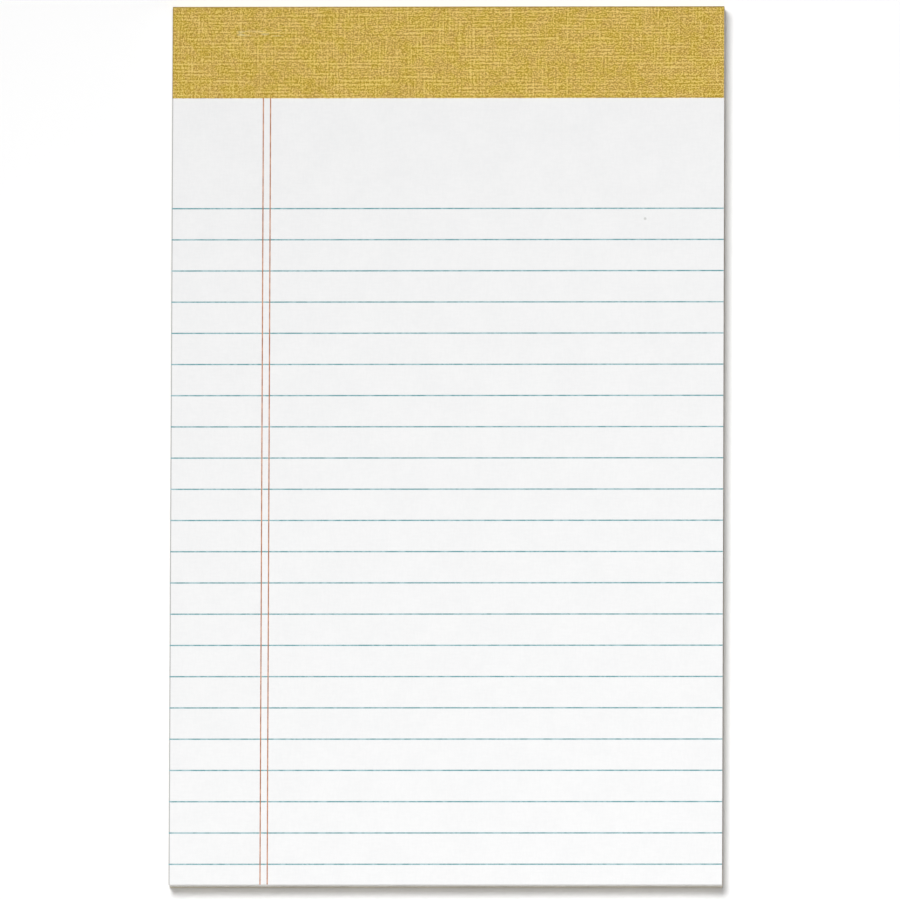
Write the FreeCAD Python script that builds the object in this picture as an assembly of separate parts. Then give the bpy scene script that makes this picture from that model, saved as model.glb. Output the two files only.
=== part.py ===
import FreeCAD, Part
import math
import os

# Ruled writing pad, bound at the head. Millimetres.
# X runs across the pad, Y from the foot to the head, Z up out of the top sheet.
# The origin is the middle of the underside, so the pad lies on the plane Z = 0.

# Overall sizes
pad_width = 127.0
pad_length = 203.2

# Sheets: one sheet with the little air that stays between pressed sheets
sheet_count = 50
sheet_pitch = 0.095

# Chipboard backing
board_thickness = 1.5

# Binding strip: wraps the head, with one lap on the top sheet and one under the board
strip_thickness = 0.15
front_lap = 21.3
back_lap = 22.0
strip_end_inset = 0.22
head_edge_radius = 0.5

# Staples: round wire through sheets and board, hidden by the two laps
wire_diameter = 0.55
crown_length = 11.0
inner_bend_radius = 0.35
clinch_gap = 2.6
staple_from_side = 20.5
staple_from_head = 6.3
staple_clearance = 0.03

# Printed ruling on the top sheet
ink_thickness = 0.02
header_space = 25.6
rule_pitch = 7.22
rule_width = 0.28
foot_space = 4.0

# Printed pair of margin lines on the top sheet
margin_from_left = 21.0
margin_pair_pitch = 1.65
margin_line_width = 0.27

# Heights of the layers, from the table up
board_bottom = strip_thickness
pages_bottom = board_bottom + board_thickness
pages_top = pages_bottom + sheet_count * sheet_pitch
strip_top = pages_top + strip_thickness

# Edges in plan
left = -pad_width / 2
right = pad_width / 2
foot = -pad_length / 2
head = pad_length / 2
sheet_head = head - strip_thickness
front_lap_end = head - front_lap
back_lap_end = head - back_lap

# Wire centre lines
wire_radius = wire_diameter / 2
seat_half_width = wire_radius + staple_clearance
bend_radius = inner_bend_radius + wire_radius
crown_height = pages_top - seat_half_width
clinch_height = board_bottom + seat_half_width

ACROSS = FreeCAD.Vector(1, 0, 0)
UP = FreeCAD.Vector(0, 0, 1)


def block(x_low, x_high, y_low, y_high, z_low, z_high):
    """Box between two corners."""
    corner = FreeCAD.Vector(x_low, y_low, z_low)
    return Part.makeBox(x_high - x_low, y_high - y_low, z_high - z_low, corner)


def line(start, end):
    return Part.LineSegment(start, end).toShape()


def quarter_turn(centre, radius, start_angle, axis_a, axis_b):
    """Arc of 90 degrees about centre, from start_angle on, in the plane of two unit vectors."""
    points = []
    for step in range(3):
        angle = math.radians(start_angle + 45 * step)
        reach = axis_a * math.cos(angle) + axis_b * math.sin(angle)
        points.append(centre + reach * radius)
    return Part.Arc(*points).toShape()


def head_outline(x, y_head, z_low, z_high, radius, y_front, y_back):
    """Edges of a C round the head, from the top lap's end over the head to the back lap's end."""
    toward_head = FreeCAD.Vector(0, 1, 0)
    top_centre = FreeCAD.Vector(x, y_head - radius, z_high - radius)
    low_centre = FreeCAD.Vector(x, y_head - radius, z_low + radius)
    top_edge = line(FreeCAD.Vector(x, y_front, z_high), top_centre + UP * radius)
    top_fold = quarter_turn(top_centre, radius, 0, toward_head, UP)
    head_face = line(top_centre + toward_head * radius, low_centre + toward_head * radius)
    low_fold = quarter_turn(low_centre, radius, -90, toward_head, UP)
    low_edge = line(low_centre - UP * radius, FreeCAD.Vector(x, y_back, z_low))
    return [top_edge, top_fold, head_face, low_fold, low_edge]


def make_strip():
    """Folded strip: an outer and an inner C, closed at the two lap ends."""
    x_start = left + strip_end_inset
    outer_radius = head_edge_radius + strip_thickness
    outer = head_outline(x_start, head, 0, strip_top, outer_radius, front_lap_end, back_lap_end)
    inner = head_outline(
        x_start, sheet_head, board_bottom, pages_top, head_edge_radius, front_lap_end, back_lap_end
    )
    front_end = line(
        FreeCAD.Vector(x_start, front_lap_end, pages_top),
        FreeCAD.Vector(x_start, front_lap_end, strip_top),
    )
    back_end = line(
        FreeCAD.Vector(x_start, back_lap_end, 0),
        FreeCAD.Vector(x_start, back_lap_end, board_bottom),
    )
    edges = Part.sortEdges(outer + inner + [front_end, back_end])[0]
    section = Part.Face(Part.Wire(edges))
    return section.extrude(ACROSS * (pad_width - 2 * strip_end_inset))


def staple_path(x_middle, tip_gap):
    """Centre line of a clinched staple: tip, clinch, leg, crown, leg, clinch, tip."""
    y = head - staple_from_head
    crown_ends = []
    edges = []
    for side in (-1, 1):
        outward = ACROSS * side
        x_leg = x_middle + side * crown_length / 2
        high = FreeCAD.Vector(x_leg, y, crown_height) - (outward + UP) * bend_radius
        low = FreeCAD.Vector(x_leg, y, clinch_height) - (outward - UP) * bend_radius
        tip = FreeCAD.Vector(x_middle + side * tip_gap / 2, y, clinch_height)
        crown_ends.append(high + UP * bend_radius)
        edges.append(quarter_turn(high, bend_radius, 0, outward, UP))
        edges.append(line(high + outward * bend_radius, low + outward * bend_radius))
        edges.append(quarter_turn(low, bend_radius, -90, outward, UP))
        edges.append(line(low - UP * bend_radius, tip))
    edges.append(line(*crown_ends))
    return Part.Wire(Part.sortEdges(edges)[0])


def left_tip(x_middle, tip_gap):
    return FreeCAD.Vector(x_middle - tip_gap / 2, head - staple_from_head, clinch_height)


def make_staple(x_middle):
    """Round wire bent and clinched along the staple's centre line."""
    section = Part.makeCircle(wire_radius, left_tip(x_middle, clinch_gap), ACROSS)
    path = staple_path(x_middle, clinch_gap)
    return path.makePipeShell([Part.Wire(section)], True, False)


def staple_seat(x_middle):
    """Channel that a staple lies in: square, as wide as the wire and its clearance, open under the laps."""
    tip_gap = clinch_gap - 2 * staple_clearance
    tip = left_tip(x_middle, tip_gap)
    corners = [
        tip + FreeCAD.Vector(0, across * seat_half_width, up * seat_half_width)
        for across, up in ((-1, -1), (1, -1), (1, 1), (-1, 1), (-1, -1))
    ]
    path = staple_path(x_middle, tip_gap)
    return path.makePipeShell([Part.makePolygon(corners)], True, False)


def make_layer(z_low, z_high, round_z):
    """One trimmed layer with its outer edge at the head rounded where the strip folds over it."""
    layer = block(left, right, foot, sheet_head, z_low, z_high)
    edges = [
        edge
        for edge in layer.Edges
        if edge.BoundBox.YMin > sheet_head - head_edge_radius
        and abs(edge.CenterOfMass.z - round_z) < head_edge_radius / 2
    ]
    return layer.makeFillet(head_edge_radius, edges)


def make_blue_ruling():
    """Blue rules across the whole sheet, each one open where a margin line crosses it."""
    cuts = [left]
    for x in margin_places():
        cuts += [x - margin_line_width / 2, x + margin_line_width / 2]
    cuts.append(right)
    first_rule = front_lap_end - header_space
    ruled_depth = first_rule - foot - foot_space
    rule_count = int(ruled_depth / rule_pitch) + 1
    bars = []
    for row in range(rule_count):
        y = first_rule - row * rule_pitch
        for x_low, x_high in zip(cuts[0::2], cuts[1::2]):
            bars.append(
                block(
                    x_low,
                    x_high,
                    y - rule_width / 2,
                    y + rule_width / 2,
                    pages_top,
                    pages_top + ink_thickness,
                )
            )
    return Part.makeCompound(bars)


def margin_places():
    first = left + margin_from_left
    return [first, first + margin_pair_pitch]


def make_margin_lines():
    """The two margin lines, from the strip's edge down to the foot."""
    bars = []
    for x in margin_places():
        bars.append(
            block(
                x - margin_line_width / 2,
                x + margin_line_width / 2,
                foot,
                front_lap_end,
                pages_top,
                pages_top + ink_thickness,
            )
        )
    return Part.makeCompound(bars)


def main():
    staple_places = {
        "staple_left": left + staple_from_side,
        "staple_right": right - staple_from_side,
    }
    seats = [staple_seat(x) for x in staple_places.values()]
    shapes = {
        "page_block": make_layer(pages_bottom, pages_top, pages_top).cut(seats),
        "backing_board": make_layer(board_bottom, pages_bottom, board_bottom).cut(seats),
        "binding_strip": make_strip(),
        "blue_ruling": make_blue_ruling(),
        "margin_lines": make_margin_lines(),
    }
    for name, x in staple_places.items():
        shapes[name] = make_staple(x)
    os.makedirs("parts", exist_ok=True)
    for name, shape in shapes.items():
        shape.exportStep("parts/" + name + ".step")


main()
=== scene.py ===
"""Head-bound ruled writing pad, lying on a white table."""
import logging
import math
import random
from collections.abc import Callable, Iterator
from contextlib import contextmanager
from dataclasses import dataclass, field
from enum import Enum

import bmesh
import bpy
from mathutils import Matrix, Vector


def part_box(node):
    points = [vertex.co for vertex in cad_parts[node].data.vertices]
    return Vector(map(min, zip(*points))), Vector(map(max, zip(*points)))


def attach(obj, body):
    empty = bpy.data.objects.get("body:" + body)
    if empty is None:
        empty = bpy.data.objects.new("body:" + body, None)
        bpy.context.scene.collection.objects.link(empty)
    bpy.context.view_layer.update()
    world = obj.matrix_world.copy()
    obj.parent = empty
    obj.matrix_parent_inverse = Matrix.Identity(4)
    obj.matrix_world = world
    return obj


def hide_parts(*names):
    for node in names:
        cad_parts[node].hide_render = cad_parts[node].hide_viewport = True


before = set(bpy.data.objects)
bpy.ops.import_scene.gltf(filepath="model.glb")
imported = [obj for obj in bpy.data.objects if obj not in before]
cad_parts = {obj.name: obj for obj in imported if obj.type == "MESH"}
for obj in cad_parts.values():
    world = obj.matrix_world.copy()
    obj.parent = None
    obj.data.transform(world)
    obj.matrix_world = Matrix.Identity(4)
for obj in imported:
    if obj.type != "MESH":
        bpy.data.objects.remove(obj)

LOG = logging.getLogger("pad")
BODY = "root"
MM = 0.001
PHOTO_SIDE_PX = 900

# Closer than this, two places count as one
NEAR = 0.01 * MM
# A direction that has more than this on an axis counts as that axis
MOSTLY = 0.9

Span = tuple[float, float]
Triple = tuple[float, float, float]
Colour = Triple
Socket = bpy.types.NodeSocket
Source = Socket | float | Triple
Piece = bpy.types.Object


# Working by hand: selecting, extruding and finishing


class Element(Enum):
    """What a selection in edit mode is made of."""

    CORNER = "VERT"
    EDGE = "EDGE"
    FACE = "FACE"


def take(piece: Piece) -> None:
    """Makes a piece the active one and the only one selected.

    Args:
        piece: The object to work on next.
    """
    for other in list(bpy.context.selected_objects):
        other.select_set(False)
    piece.select_set(True)
    bpy.context.view_layer.objects.active = piece


@contextmanager
def editing(piece: Piece) -> Iterator[None]:
    """Edit mode on one piece alone, entered with nothing selected.

    Args:
        piece: The mesh object to edit.
    """
    take(piece)
    bpy.ops.object.mode_set(mode="EDIT")
    bpy.ops.mesh.select_all(action="DESELECT")
    yield
    bpy.ops.object.mode_set(mode="OBJECT")


def pick(piece: Piece, element: Element, test: Callable[[Vector, Vector], bool]) -> None:
    """Selects what passes a test, in edit mode, and nothing else.

    Args:
        piece: The mesh object in edit mode, whose origin is the world's.
        element: Corners, edges or faces.
        test: Says yes or no to a place and a normal, which for an edge is its direction.
    """
    bpy.ops.mesh.select_mode(type=element.value)
    bpy.ops.mesh.select_all(action="DESELECT")
    mesh = bmesh.from_edit_mesh(piece.data)
    if element is Element.FACE:
        found = [face for face in mesh.faces if test(face.calc_center_median(), face.normal)]
    elif element is Element.EDGE:
        ends = [(edge, edge.verts[0].co, edge.verts[1].co) for edge in mesh.edges]
        found = [edge for edge, a, b in ends if test((a + b) / 2, (b - a).normalized())]
    else:
        found = [corner for corner in mesh.verts if test(corner.co, corner.normal)]
    for item in found:
        item.select_set(True)
    mesh.select_flush_mode()
    bmesh.update_edit_mesh(piece.data)


def pick_all(element: Element) -> None:
    """Selects everything in edit mode, as corners, edges or faces."""
    bpy.ops.mesh.select_mode(type=element.value)
    bpy.ops.mesh.select_all(action="SELECT")


def extrude(step: Vector) -> None:
    """Extrudes the selection by a step in the world's directions."""
    bpy.ops.mesh.extrude_region_move(
        TRANSFORM_OT_translate={"value": tuple(step), "orient_type": "GLOBAL"}
    )


def move(step: Vector) -> None:
    """Moves the selection by a step in the world's directions."""
    bpy.ops.transform.translate(value=tuple(step), orient_type="GLOBAL")


def stretch(factors: Vector, centre: Vector) -> None:
    """Scales the selection about a place."""
    bpy.ops.transform.resize(
        value=tuple(factors), orient_type="GLOBAL", center_override=tuple(centre)
    )


def swing(axis: Vector, centre: Vector, steps: int) -> None:
    """Carries the selected rim a quarter turn round an axis, and leaves a surface behind it.

    Args:
        axis: The axis that it turns about, right-handed.
        centre: A place on the axis.
        steps: How many rows of faces the quarter turn has.
    """
    bpy.ops.mesh.spin(steps=steps, angle=-math.pi / 2, center=tuple(centre), axis=tuple(axis))


def settle(piece: Piece, name: str) -> Piece:
    """Names a piece and brings its place, turn and scale into its mesh.

    Args:
        piece: The object to settle.
        name: Its name from now on.

    Returns:
        The same object.
    """
    piece.name = name
    piece.data.name = name
    take(piece)
    bpy.ops.object.transform_apply(location=True, rotation=True, scale=True)
    return piece


def modify(piece: Piece, kind: str, **settings: object) -> None:
    """Adds a modifier with its settings and applies it at once.

    Args:
        piece: The object to change.
        kind: Blender's name for the modifier's type.
        **settings: The modifier's own properties.
    """
    modifier = piece.modifiers.new(kind.title(), kind)
    for key, value in settings.items():
        setattr(modifier, key, value)
    bpy.context.view_layer.objects.active = piece
    bpy.ops.object.modifier_apply(modifier=modifier.name)


def close_up(piece: Piece, merge_under: float = 0.001 * MM) -> None:
    """Merges doubled corners, closes open ends and turns every face outwards.

    Args:
        piece: The object to finish.
        merge_under: How close two corners lie that are merged.
    """
    with editing(piece):
        bpy.ops.mesh.select_all(action="SELECT")
        bpy.ops.mesh.remove_doubles(threshold=merge_under)
        bpy.ops.mesh.fill_holes(sides=0)
        bpy.ops.mesh.normals_make_consistent(inside=False)


def hand_in(piece: Piece, material: bpy.types.Material, node: str) -> None:
    """Dresses a finished piece and ties it to the frame.

    Args:
        piece: The finished object.
        material: What the piece is finished with.
        node: The CAD node that it stands for.
    """
    piece.data.materials.clear()
    piece.data.materials.append(material)
    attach(piece, BODY)
    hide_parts(node)
    LOG.info("%s: %d faces, %s", piece.name, len(piece.data.polygons), material.name)


# Writing shader nodes


class Graph:
    """Writes shader nodes into one tree."""

    def __init__(self, tree: bpy.types.NodeTree) -> None:
        """Starts on a tree, which may already hold nodes."""
        self.tree = tree

    def add(self, kind: str, **settings: object) -> bpy.types.Node:
        """Adds a node.

        Args:
            kind: Blender's name for the node's type.
            **settings: The node's own properties.

        Returns:
            The new node.
        """
        node = self.tree.nodes.new(kind)
        for key, value in settings.items():
            setattr(node, key, value)
        return node

    def feed(self, socket: Socket, source: Source) -> None:
        """Links a socket to another, or gives it a plain value.

        Args:
            socket: The input to feed.
            source: Another node's output, a number or a colour.
        """
        if isinstance(source, bpy.types.NodeSocket):
            self.tree.links.new(source, socket)
        elif isinstance(source, tuple) and socket.type == "RGBA":
            socket.default_value = (*source, 1.0)
        else:
            socket.default_value = source

    def maths(self, operation: str, first: Source, second: Source = 0.0, clamp: bool = False) -> Socket:
        """Works out one sum.

        Args:
            operation: Blender's name for the sum.
            first: The first value.
            second: The second value, which a sum on one value leaves unread.
            clamp: Whether the result stays between 0 and 1.

        Returns:
            The result.
        """
        node = self.add("ShaderNodeMath", operation=operation, use_clamp=clamp)
        self.feed(node.inputs[0], first)
        self.feed(node.inputs[1], second)
        return node.outputs[0]

    def blend(self, first: Source, second: Source, share: float) -> Socket:
        """Weighs two values, the second by its share and the first by the rest."""
        kept = self.maths("MULTIPLY", first, 1.0 - share)
        return self.maths("ADD", kept, self.maths("MULTIPLY", second, share))

    def vector(self, operation: str, first: Source, second: Source) -> Socket:
        """Works out one sum on two vectors.

        Args:
            operation: Blender's name for the sum.
            first: The first vector.
            second: The second vector.

        Returns:
            A vector, or a number where the sum is a distance.
        """
        node = self.add("ShaderNodeVectorMath", operation=operation)
        self.feed(node.inputs[0], first)
        self.feed(node.inputs[1], second)
        return node.outputs["Value" if operation == "DISTANCE" else "Vector"]

    def split(self, place: Socket) -> tuple[Socket, Socket, Socket]:
        """Takes a vector apart.

        Args:
            place: The vector.

        Returns:
            Its three parts.
        """
        node = self.add("ShaderNodeSeparateXYZ")
        self.feed(node.inputs[0], place)
        return node.outputs[0], node.outputs[1], node.outputs[2]

    def join(self, x: Source, y: Source, z: Source) -> Socket:
        """Puts a vector together.

        Args:
            x: Its first part.
            y: Its second part.
            z: Its third part.

        Returns:
            The vector.
        """
        node = self.add("ShaderNodeCombineXYZ")
        for socket, source in zip(node.inputs, (x, y, z)):
            self.feed(socket, source)
        return node.outputs[0]

    def noise(
        self,
        place: Socket,
        scale: Source = 1.0,
        detail: float = 2.0,
        rough: float = 0.5,
        bend: float = 0.0,
        output: str = "Fac",
    ) -> Socket:
        """Adds soft noise.

        Args:
            place: Where it is read.
            scale: Its cells over one unit of the place.
            detail: How many finer layers it has.
            rough: How strong the finer layers are.
            bend: How far its outlines are bent.
            output: "Fac" for a value from 0 to 1, or "Color" for three of them.

        Returns:
            The noise.
        """
        node = self.add("ShaderNodeTexNoise")
        self.feed(node.inputs["Vector"], place)
        self.feed(node.inputs["Scale"], scale)
        self.feed(node.inputs["Detail"], detail)
        self.feed(node.inputs["Roughness"], rough)
        self.feed(node.inputs["Distortion"], bend)
        return node.outputs[output]

    def remap(self, value: Source, span: Span, to_span: Span = (0.0, 1.0)) -> Socket:
        """Carries one range over to another with soft ends, and stops at them.

        Args:
            value: The value.
            span: The ends of the range that it comes from.
            to_span: The ends of the range that it goes to.

        Returns:
            The value in its new range.
        """
        node = self.add("ShaderNodeMapRange", interpolation_type="SMOOTHSTEP")
        for socket, source in zip(node.inputs, (value, *span, *to_span)):
            self.feed(socket, source)
        return node.outputs[0]

    def mix(self, share: Source, first: Source, second: Source) -> Socket:
        """Mixes two colours.

        Args:
            share: The second colour's share.
            first: The first colour.
            second: The second colour.

        Returns:
            The colour between the two.
        """
        node = self.add("ShaderNodeMix", data_type="RGBA")
        colours = [socket for socket in node.inputs if socket.type == "RGBA"]
        self.feed(node.inputs[0], share)
        self.feed(colours[0], first)
        self.feed(colours[1], second)
        return next(socket for socket in node.outputs if socket.type == "RGBA")

    def ramp(self, value: Socket, stops: tuple[tuple[float, Colour], ...]) -> Socket:
        """Reads a value off a row of colours.

        Args:
            value: The value, from 0 to 1.
            stops: The place and colour of each stop, in order.

        Returns:
            The colour at the value.
        """
        node = self.add("ShaderNodeValToRGB")
        elements = node.color_ramp.elements
        for element, (position, colour) in zip(list(elements), (stops[0], stops[-1])):
            element.position = position
            element.color = (*colour, 1.0)
        for position, colour in stops[1:-1]:
            elements.new(position).color = (*colour, 1.0)
        self.feed(node.inputs[0], value)
        return node.outputs["Color"]

    def bump(self, height: Source, strength: float, distance: float) -> Socket:
        """Raises a surface by a height.

        Args:
            height: The height, from 0 to 1.
            strength: How much of the relief is kept.
            distance: What a height of 1 stands for, in metres.

        Returns:
            The normal.
        """
        node = self.add("ShaderNodeBump")
        self.feed(node.inputs["Strength"], strength)
        self.feed(node.inputs["Distance"], distance)
        self.feed(node.inputs["Height"], height)
        return node.outputs["Normal"]

    def place(self) -> Socket:
        """Place on the piece, in metres in the pad's own frame."""
        return self.add("ShaderNodeTexCoord").outputs["Object"]

    def group(self, tree: bpy.types.NodeTree, **values: Source) -> bpy.types.Node:
        """Places a node group.

        Args:
            tree: The group's tree.
            **values: What feeds its inputs, by name.

        Returns:
            The group's node.
        """
        node = self.add("ShaderNodeGroup", node_tree=tree)
        for key, value in values.items():
            self.feed(node.inputs[key], value)
        return node


def new_group(
    name: str, values: dict[str, float], results: list[str]
) -> tuple[Graph, bpy.types.Node, bpy.types.Node]:
    """Starts a node group that reads a Place and some plain values.

    Args:
        name: The group's name.
        values: Its number inputs and their defaults.
        results: The names of its outputs, all numbers.

    Returns:
        The graph, its input node and its output node.
    """
    tree = bpy.data.node_groups.new(name, "ShaderNodeTree")
    tree.interface.new_socket("Place", in_out="INPUT", socket_type="NodeSocketVector")
    for key, value in values.items():
        socket = tree.interface.new_socket(key, in_out="INPUT", socket_type="NodeSocketFloat")
        socket.default_value = value
    for key in results:
        tree.interface.new_socket(key, in_out="OUTPUT", socket_type="NodeSocketFloat")
    graph = Graph(tree)
    return graph, graph.add("NodeGroupInput"), graph.add("NodeGroupOutput")


@dataclass(frozen=True)
class PressedFibres:
    """Pressed fibres: fine grain, soft clouds and short strands that lie both ways."""

    cells: float = 1500.0
    cloud_cells: float = 0.06
    cloud_detail: float = 3.0
    strand_ways: tuple[Triple, Triple] = ((1.0, 0.22, 1.0), (0.22, 1.0, 1.0))
    strand_detail: float = 2.0
    strand_bend: float = 0.6

    def tree(self) -> bpy.types.NodeTree:
        """Writes the node group.

        Returns:
            The group, which puts out Clouds and Grain from 0 to 1.
        """
        graph, given, result = new_group("pressed_fibres", {"Cells": self.cells}, ["Clouds", "Grain"])
        place, cells = given.outputs["Place"], given.outputs["Cells"]
        cloud_scale = graph.maths("MULTIPLY", cells, self.cloud_cells)
        strands = []
        for way in self.strand_ways:
            laid = graph.vector("MULTIPLY", place, way)
            strands.append(graph.noise(laid, cells, self.strand_detail, bend=self.strand_bend))
        graph.feed(result.inputs["Clouds"], graph.noise(place, cloud_scale, self.cloud_detail))
        graph.feed(result.inputs["Grain"], graph.blend(*strands, 1 / len(strands)))
        return graph.tree


@dataclass(frozen=True)
class SparseSpecks:
    """Sparse specks of uneven size and outline, as in recycled board or on well-used paper."""

    cells: float = 400.0
    size: float = 0.15
    share: float = 0.3
    ripple_cells: float = 3.0
    ripple_detail: float = 2.0
    sharpness: float = 12.0

    def tree(self) -> bpy.types.NodeTree:
        """Writes the node group.

        Returns:
            The group, which puts out a Mask that is 1 on the specks.
        """
        values = {"Cells": self.cells, "Size": self.size, "Share": self.share}
        graph, given, result = new_group("specks", values, ["Mask"])
        place, cells = given.outputs["Place"], given.outputs["Cells"]
        ripple_scale = graph.maths("MULTIPLY", cells, self.ripple_cells)
        ripple = graph.noise(place, ripple_scale, self.ripple_detail, output="Color")
        shift = graph.vector("DIVIDE", ripple, graph.join(cells, cells, cells))
        spots = graph.add("ShaderNodeTexVoronoi")
        graph.feed(spots.inputs["Vector"], graph.vector("ADD", place, shift))
        graph.feed(spots.inputs["Scale"], cells)
        lot = graph.add("ShaderNodeSeparateColor")
        graph.feed(lot.inputs[0], spots.outputs["Color"])
        chosen = graph.maths("LESS_THAN", lot.outputs[0], given.outputs["Share"])
        reach = graph.maths("MULTIPLY", given.outputs["Size"], lot.outputs[1])
        inside = graph.maths("SUBTRACT", reach, spots.outputs["Distance"])
        edge = graph.maths("MULTIPLY", inside, self.sharpness, clamp=True)
        graph.feed(result.inputs["Mask"], graph.maths("MULTIPLY", edge, chosen))
        return graph.tree


class Run(Enum):
    """Which way a set of threads runs over the cloth, and its layer of noise."""

    ACROSS = 3.0
    ALONG = 11.0


@dataclass(frozen=True)
class ThreadSet:
    """One set of uneven threads on the cloth.

    It says how far apart they lie, how far each stays thick, how strong they are and how far they wander.
    """

    run: Run
    pitch: float
    length: float
    weight: float
    strength_span: Span
    roundness: float = 0.35
    wander: float = 1.4
    wander_along: float = 0.2
    wander_over: float = 0.2
    wander_detail: float = 1.0
    change_over: float = 0.9
    change_detail: float = 2.0
    change_rough: float = 0.6
    change_layer: float = 0.5

    def write(self, graph: Graph, place: Socket) -> tuple[Socket, Socket]:
        """Writes the threads' nodes.

        Args:
            graph: The tree to write in.
            place: Place on the flat cloth, in metres.

        Returns:
            The round of the threads from -1 to 1, and the light that they add.
        """
        x, y, _ = graph.split(place)
        along, over = (x, y) if self.run is Run.ACROSS else (y, x)
        along_cells = graph.maths("DIVIDE", along, self.length)
        over_cells = graph.maths("DIVIDE", over, self.pitch)
        layer = self.run.value
        drift_place = graph.join(
            graph.maths("MULTIPLY", along_cells, self.wander_along),
            graph.maths("MULTIPLY", over_cells, self.wander_over),
            layer,
        )
        drift = graph.maths("MULTIPLY", graph.noise(drift_place, detail=self.wander_detail), self.wander)
        turns = graph.maths("MULTIPLY", graph.maths("ADD", over_cells, drift), math.tau)
        wave = graph.maths("COSINE", turns)
        change_over = graph.maths("MULTIPLY", over_cells, self.change_over)
        change_place = graph.join(along_cells, change_over, layer + self.change_layer)
        change = graph.noise(change_place, detail=self.change_detail, rough=self.change_rough)
        strength = graph.remap(change, self.strength_span)
        light = graph.maths("MULTIPLY", graph.maths("ADD", wave, self.roundness), strength)
        return wave, graph.maths("MULTIPLY", light, self.weight)


@dataclass(frozen=True)
class HairSet:
    """Fine fibres between the threads: their cells to the metre each way, and their light."""

    cells: Triple
    light: float
    detail: float = 1.0
    middle: float = 0.5

    def write(self, graph: Graph, place: Socket) -> Socket:
        """Writes the fibres' nodes.

        Args:
            graph: The tree to write in.
            place: Place on the flat cloth, in metres.

        Returns:
            The light that they add or take.
        """
        noise = graph.noise(graph.vector("MULTIPLY", place, self.cells), detail=self.detail)
        return graph.maths("MULTIPLY", graph.maths("SUBTRACT", noise, self.middle), self.light)


@dataclass(frozen=True)
class LinenWeave:
    """Linen print: light uneven threads both ways, with darker spots and fuzz between them."""

    weft: ThreadSet = ThreadSet(
        Run.ACROSS, pitch=0.8 * MM, length=7.0 * MM, weight=0.69, strength_span=(0.36, 0.72)
    )
    warp: ThreadSet = ThreadSet(
        Run.ALONG, pitch=0.8 * MM, length=6.0 * MM, weight=0.53, strength_span=(0.42, 0.74)
    )
    hairs: tuple[HairSet, ...] = (
        HairSet(cells=(1300.0, 4400.0, 1.0), light=2.7),
        HairSet(cells=(4600.0, 1300.0, 5.0), light=1.9),
        HairSet(cells=(3700.0, 4300.0, 9.0), light=4.4),
    )
    crossing: float = 0.10
    level: float = 0.414

    def tree(self) -> bpy.types.NodeTree:
        """Writes the node group.

        Returns:
            The group, which puts out the print's Light and the threads' Relief, both from 0 to 1.
        """
        graph, given, result = new_group("linen_threads", {}, ["Light", "Relief"])
        place = given.outputs["Place"]
        weft, weft_light = self.weft.write(graph, place)
        warp, warp_light = self.warp.write(graph, place)
        threads = graph.maths("ADD", weft_light, warp_light)
        dots = graph.maths("MULTIPLY", graph.maths("MULTIPLY", weft, warp), self.crossing)
        light = graph.maths("ADD", threads, dots)
        for hair in self.hairs:
            light = graph.maths("ADD", light, hair.write(graph, place))
        graph.feed(result.inputs["Light"], graph.maths("ADD", light, self.level, clamp=True))
        graph.feed(result.inputs["Relief"], graph.maths("ADD", threads, self.level, clamp=True))
        return graph.tree


# Finishes


def new_material(name: str) -> tuple[bpy.types.Material, Graph, bpy.types.Node]:
    """Starts a material.

    Args:
        name: The material's name.

    Returns:
        The material, the graph of its tree and its principled shader.
    """
    material = bpy.data.materials.new(name)
    material.use_nodes = True
    graph = Graph(material.node_tree)
    return material, graph, material.node_tree.nodes["Principled BSDF"]


@dataclass(frozen=True)
class Tooth:
    """How a surface takes the light: its roughness over its grain, its relief and its gloss."""

    rough_span: Span
    relief: float
    depth: float
    gloss: float = 0.5
    grain_span: Span = (0.2, 0.8)

    def dress(
        self, graph: Graph, shader: bpy.types.Node, colour: Socket, grain: Socket, height: Socket
    ) -> None:
        """Feeds a shader.

        Args:
            graph: The material's tree.
            shader: Its principled shader.
            colour: The surface's colour.
            grain: What its roughness follows.
            height: What its relief follows.
        """
        graph.feed(shader.inputs["Base Color"], colour)
        graph.feed(shader.inputs["Roughness"], graph.remap(grain, self.grain_span, self.rough_span))
        graph.feed(shader.inputs["Normal"], graph.bump(height, self.relief, self.depth))
        shader.inputs["Specular IOR Level"].default_value = self.gloss


@dataclass(frozen=True)
class SpeckLayer:
    """One kind of speck: cells to the metre, size in a cell, share of the cells, strength and colour."""

    cells: float
    size: float
    share: float
    strength: float
    colour: Colour
    shift: Triple = (0.0, 0.0, 0.0)

    def over(self, graph: Graph, specks: bpy.types.NodeTree, place: Socket, colour: Socket) -> Socket:
        """Lays the specks over a surface.

        Args:
            graph: The material's tree.
            specks: The node group of the specks.
            place: Place on the surface.
            colour: The surface's colour.

        Returns:
            The colour with the specks on it.
        """
        moved = graph.vector("ADD", place, self.shift)
        spots = graph.group(specks, Place=moved, Cells=self.cells, Size=self.size, Share=self.share)
        share = graph.maths("MULTIPLY", spots.outputs["Mask"], self.strength)
        return graph.mix(share, colour, self.colour)


class PaperSide(Enum):
    """Which side of the paper is seen, and the name of its material."""

    FACE = "page_paper"
    EDGES = "page_edges"


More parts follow.
